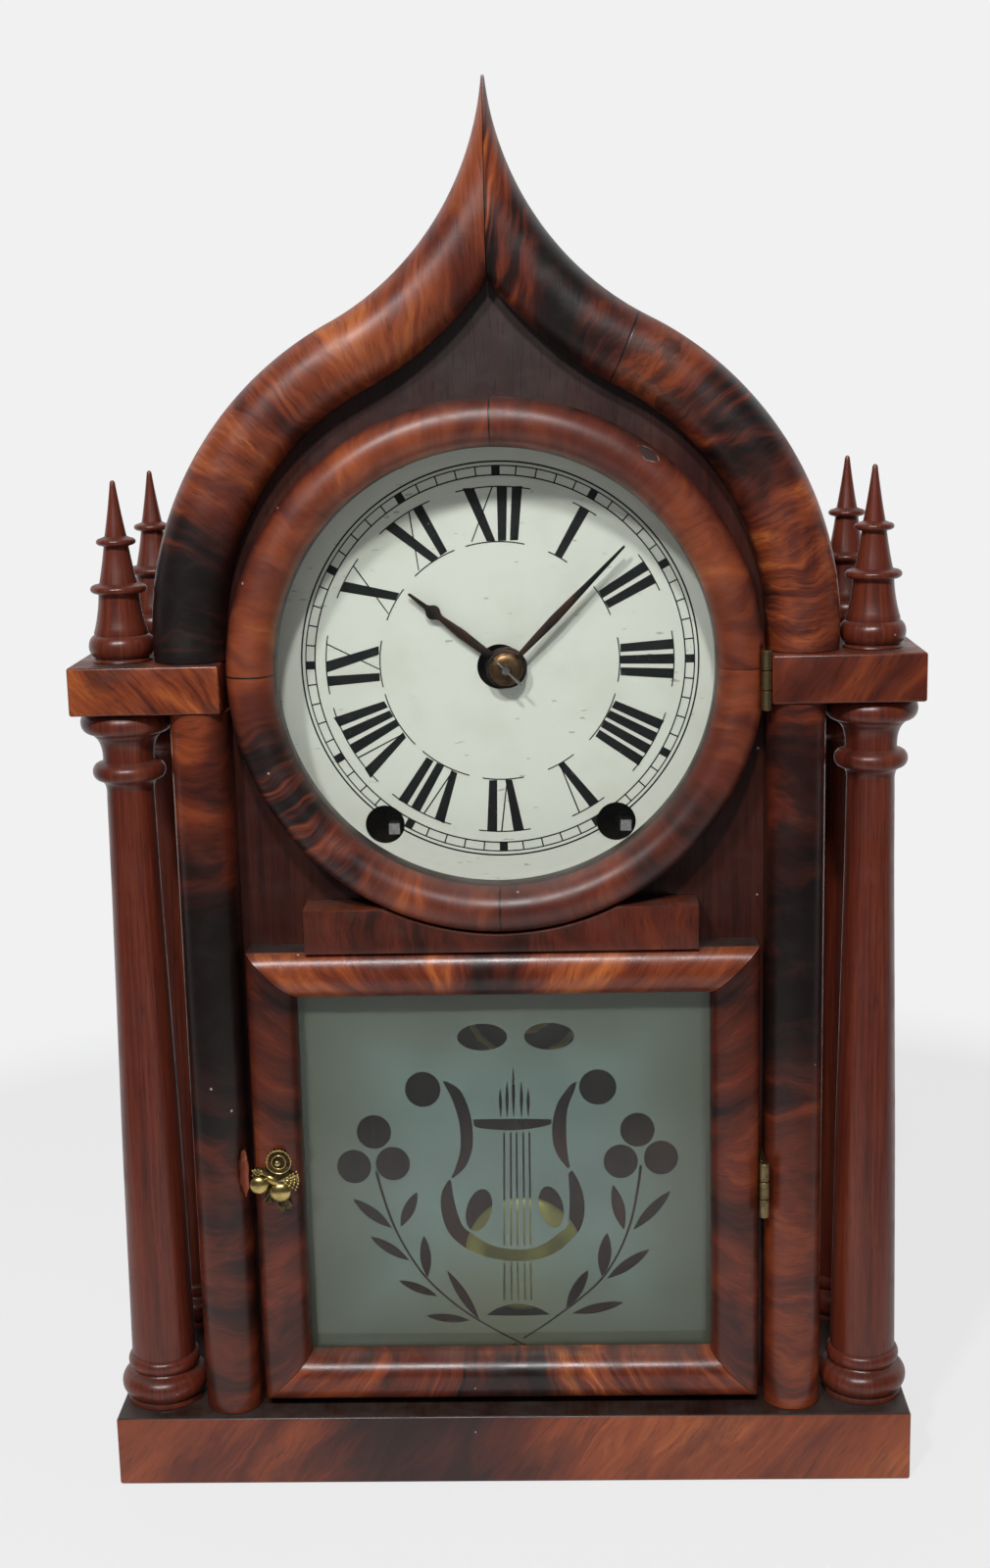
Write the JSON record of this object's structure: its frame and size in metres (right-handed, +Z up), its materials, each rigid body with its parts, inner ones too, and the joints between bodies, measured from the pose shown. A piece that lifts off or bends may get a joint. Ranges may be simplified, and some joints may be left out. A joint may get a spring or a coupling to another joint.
{
  "type": "gothic shelf clock",
  "caption": "Free-standing wooden shelf clock with an onion-shaped arch, corner columns and finials, a hinged glazed door, painted dial, pendulum and spring-driven striking movement.",
  "frame": {"origin": "middle of the plinth's underside, on the surface the clock stands on", "axes": "+Z up, +X to the right seen from the front, +Y from the front to the back, so the dial faces -Y"},
  "size_m": [0.3, 0.108, 0.508],
  "materials": {
    "mahogany": "flame veneer under glossy aged varnish",
    "dark_wood": "dark stained, dull varnish",
    "etched_glass": "frosted with clear cut pattern",
    "clear_glass": "clear",
    "brass": "aged, satin",
    "steel": "satin, slightly rusted",
    "black_steel": "satin black",
    "white_dial_paint": "chalky aged white"
  },
  "bodies": {
    "case": {"base_plinth": "mahogany", "backboard": "dark_wood", "side_panel_left": "mahogany", "side_panel_right": "mahogany", "front_board": "dark_wood", "pilaster_left": "mahogany", "pilaster_right": "mahogany", "capital_block_left": "mahogany", "capital_block_right": "mahogany", "column_front_left": "mahogany", "column_front_right": "mahogany", "column_rear_left": "mahogany", "column_rear_right": "mahogany", "finial_front_left": "mahogany", "finial_front_right": "mahogany", "finial_rear_left": "mahogany", "finial_rear_right": "mahogany", "arch_moulding_left": "mahogany", "arch_moulding_right": "mahogany", "roof_shell": "mahogany", "hinge_upper_case_leaf": "brass", "hinge_lower_case_leaf": "brass", "dial_plate": "white_dial_paint", "movement_front_plate": "brass", "movement_back_plate": "brass", "time_mainspring": "steel", "strike_mainspring": "steel", "gong": "brass"},
    "door": {"bezel_ring": "mahogany", "door_bridge": "mahogany", "door_rail_top": "mahogany", "door_rail_bottom": "mahogany", "door_stile_left": "mahogany", "door_stile_right": "mahogany", "tablet_glass": "etched_glass", "dial_glass": "clear_glass", "hinge_upper_door_leaf": "brass", "hinge_lower_door_leaf": "brass"},
    "latch": {"latch_knob": "brass", "latch_tongue": "steel"},
    "minute_hand_set": {"minute_hand": "black_steel", "hand_washer": "brass", "minute_arbor": "steel"},
    "minute_wheel_set": {"minute_wheel": "brass"},
    "hour_hand_set": {"hour_hand": "black_steel", "hour_wheel": "brass"},
    "center_wheel_set": {"center_wheel": "brass"},
    "second_wheel_set": {"time_second_wheel": "brass"},
    "third_wheel_set": {"third_wheel": "brass"},
    "escape_wheel_set": {"escape_wheel": "brass"},
    "time_great_wheel_set": {"time_great_wheel": "brass"},
    "time_winding_set": {"time_winding_arbor": "steel"},
    "strike_great_wheel_set": {"strike_great_wheel": "brass"},
    "strike_winding_set": {"strike_winding_arbor": "steel"},
    "strike_pin_wheel_set": {"strike_pin_wheel": "brass"},
    "fly_set": {"fly": "brass"},
    "pendulum": {"pendulum_rod": "steel", "pendulum_bob": "brass"},
    "verge_set": {"verge": "steel"},
    "hammer_set": {"hammer": "steel"}
  },
  "joints": [
    {"name": "door_swing", "type": "hinge", "parent": "case", "child": "door", "pos_m": [0.0944, -0.051, 0], "axis": [0, 0, 1], "range_deg": [0, 120]},
    {"name": "latch_turn", "type": "hinge", "parent": "door", "child": "latch", "pos_m": [-0.0845, -0.04, 0.122], "axis": [0, -1, 0], "range_deg": [0, 80]},
    {"name": "minute_hand_turn", "type": "hinge", "parent": "case", "child": "minute_hand_set", "pos_m": [0.0035, 0, 0.3059], "axis": [0, 1, 0], "continuous": true},
    {"name": "minute_wheel_turn", "type": "hinge", "parent": "case", "child": "minute_wheel_set", "pos_m": [-0.0145, 0, 0.3059], "axis": [0, 1, 0], "continuous": true},
    {"name": "hour_hand_turn", "type": "hinge", "parent": "case", "child": "hour_hand_set", "pos_m": [0.0035, 0, 0.3059], "axis": [0, 1, 0], "continuous": true},
    {"name": "third_wheel_turn", "type": "hinge", "parent": "case", "child": "third_wheel_set", "pos_m": [-0.0178, 0, 0.3225], "axis": [0, 1, 0], "continuous": true},
    {"name": "center_wheel_turn", "type": "hinge", "parent": "case", "child": "center_wheel_set", "pos_m": [0.0035, 0, 0.3059], "axis": [0, 1, 0], "continuous": true},
    {"name": "second_wheel_turn", "type": "hinge", "parent": "case", "child": "second_wheel_set", "pos_m": [0.032, 0, 0.28405], "axis": [0, 1, 0], "continuous": true},
    {"name": "time_great_wheel_turn", "type": "hinge", "parent": "case", "child": "time_great_wheel_set", "pos_m": [0.04615, 0, 0.246], "axis": [0, 1, 0], "continuous": true},
    {"name": "escape_wheel_turn", "type": "hinge", "parent": "case", "child": "escape_wheel_set", "pos_m": [0.0035, 0, 0.336], "axis": [0, 1, 0], "continuous": true},
    {"name": "time_winding", "type": "hinge", "parent": "time_great_wheel_set", "child": "time_winding_set", "pos_m": [0.04615, 0, 0.246], "axis": [0, 1, 0], "continuous": true},
    {"name": "strike_pin_wheel_turn", "type": "hinge", "parent": "case", "child": "strike_pin_wheel_set", "pos_m": [-0.025, 0, 0.28405], "axis": [0, 1, 0], "continuous": true},
    {"name": "strike_great_wheel_turn", "type": "hinge", "parent": "case", "child": "strike_great_wheel_set", "pos_m": [-0.03915, 0, 0.246], "axis": [0, 1, 0], "continuous": true},
    {"name": "fly_turn", "type": "hinge", "parent": "case", "child": "fly_set", "pos_m": [-0.0415, 0, 0.3054], "axis": [0, 1, 0], "continuous": true},
    {"name": "strike_winding", "type": "hinge", "parent": "strike_great_wheel_set", "child": "strike_winding_set", "pos_m": [-0.03915, 0, 0.246], "axis": [0, 1, 0], "continuous": true},
    {"name": "pendulum_swing", "type": "hinge", "parent": "case", "child": "pendulum", "pos_m": [0.0035, 0.032, 0.362], "axis": [0, 1, 0], "range_deg": [-4, 4]},
    {"name": "verge_rock", "type": "hinge", "parent": "case", "child": "verge_set", "pos_m": [0.0035, 0, 0.353], "axis": [0, 1, 0], "range_deg": [-5.4, 5.4]},
    {"name": "hammer_swing", "type": "hinge", "parent": "case", "child": "hammer_set", "pos_m": [-0.045, 0.041, 0.215], "axis": [0, 1, 0], "range_deg": [-6.5, 14]}
  ],
  "couplings": [
    {"joint": "minute_wheel_turn", "follows": "minute_hand_turn", "ratio": -0.33333},
    {"joint": "hour_hand_turn", "follows": "minute_hand_turn", "ratio": 0.083333},
    {"joint": "center_wheel_turn", "follows": "third_wheel_turn", "ratio": -0.11111},
    {"joint": "second_wheel_turn", "follows": "third_wheel_turn", "ratio": 0.018519},
    {"joint": "time_great_wheel_turn", "follows": "third_wheel_turn", "ratio": -0.0030864},
    {"joint": "escape_wheel_turn", "follows": "third_wheel_turn", "ratio": -9.5},
    {"joint": "strike_great_wheel_turn", "follows": "strike_pin_wheel_turn", "ratio": -0.16667},
    {"joint": "fly_turn", "follows": "strike_pin_wheel_turn", "ratio": -6},
    {"joint": "verge_rock", "follows": "pendulum_swing", "ratio": 1.32}
  ]
}
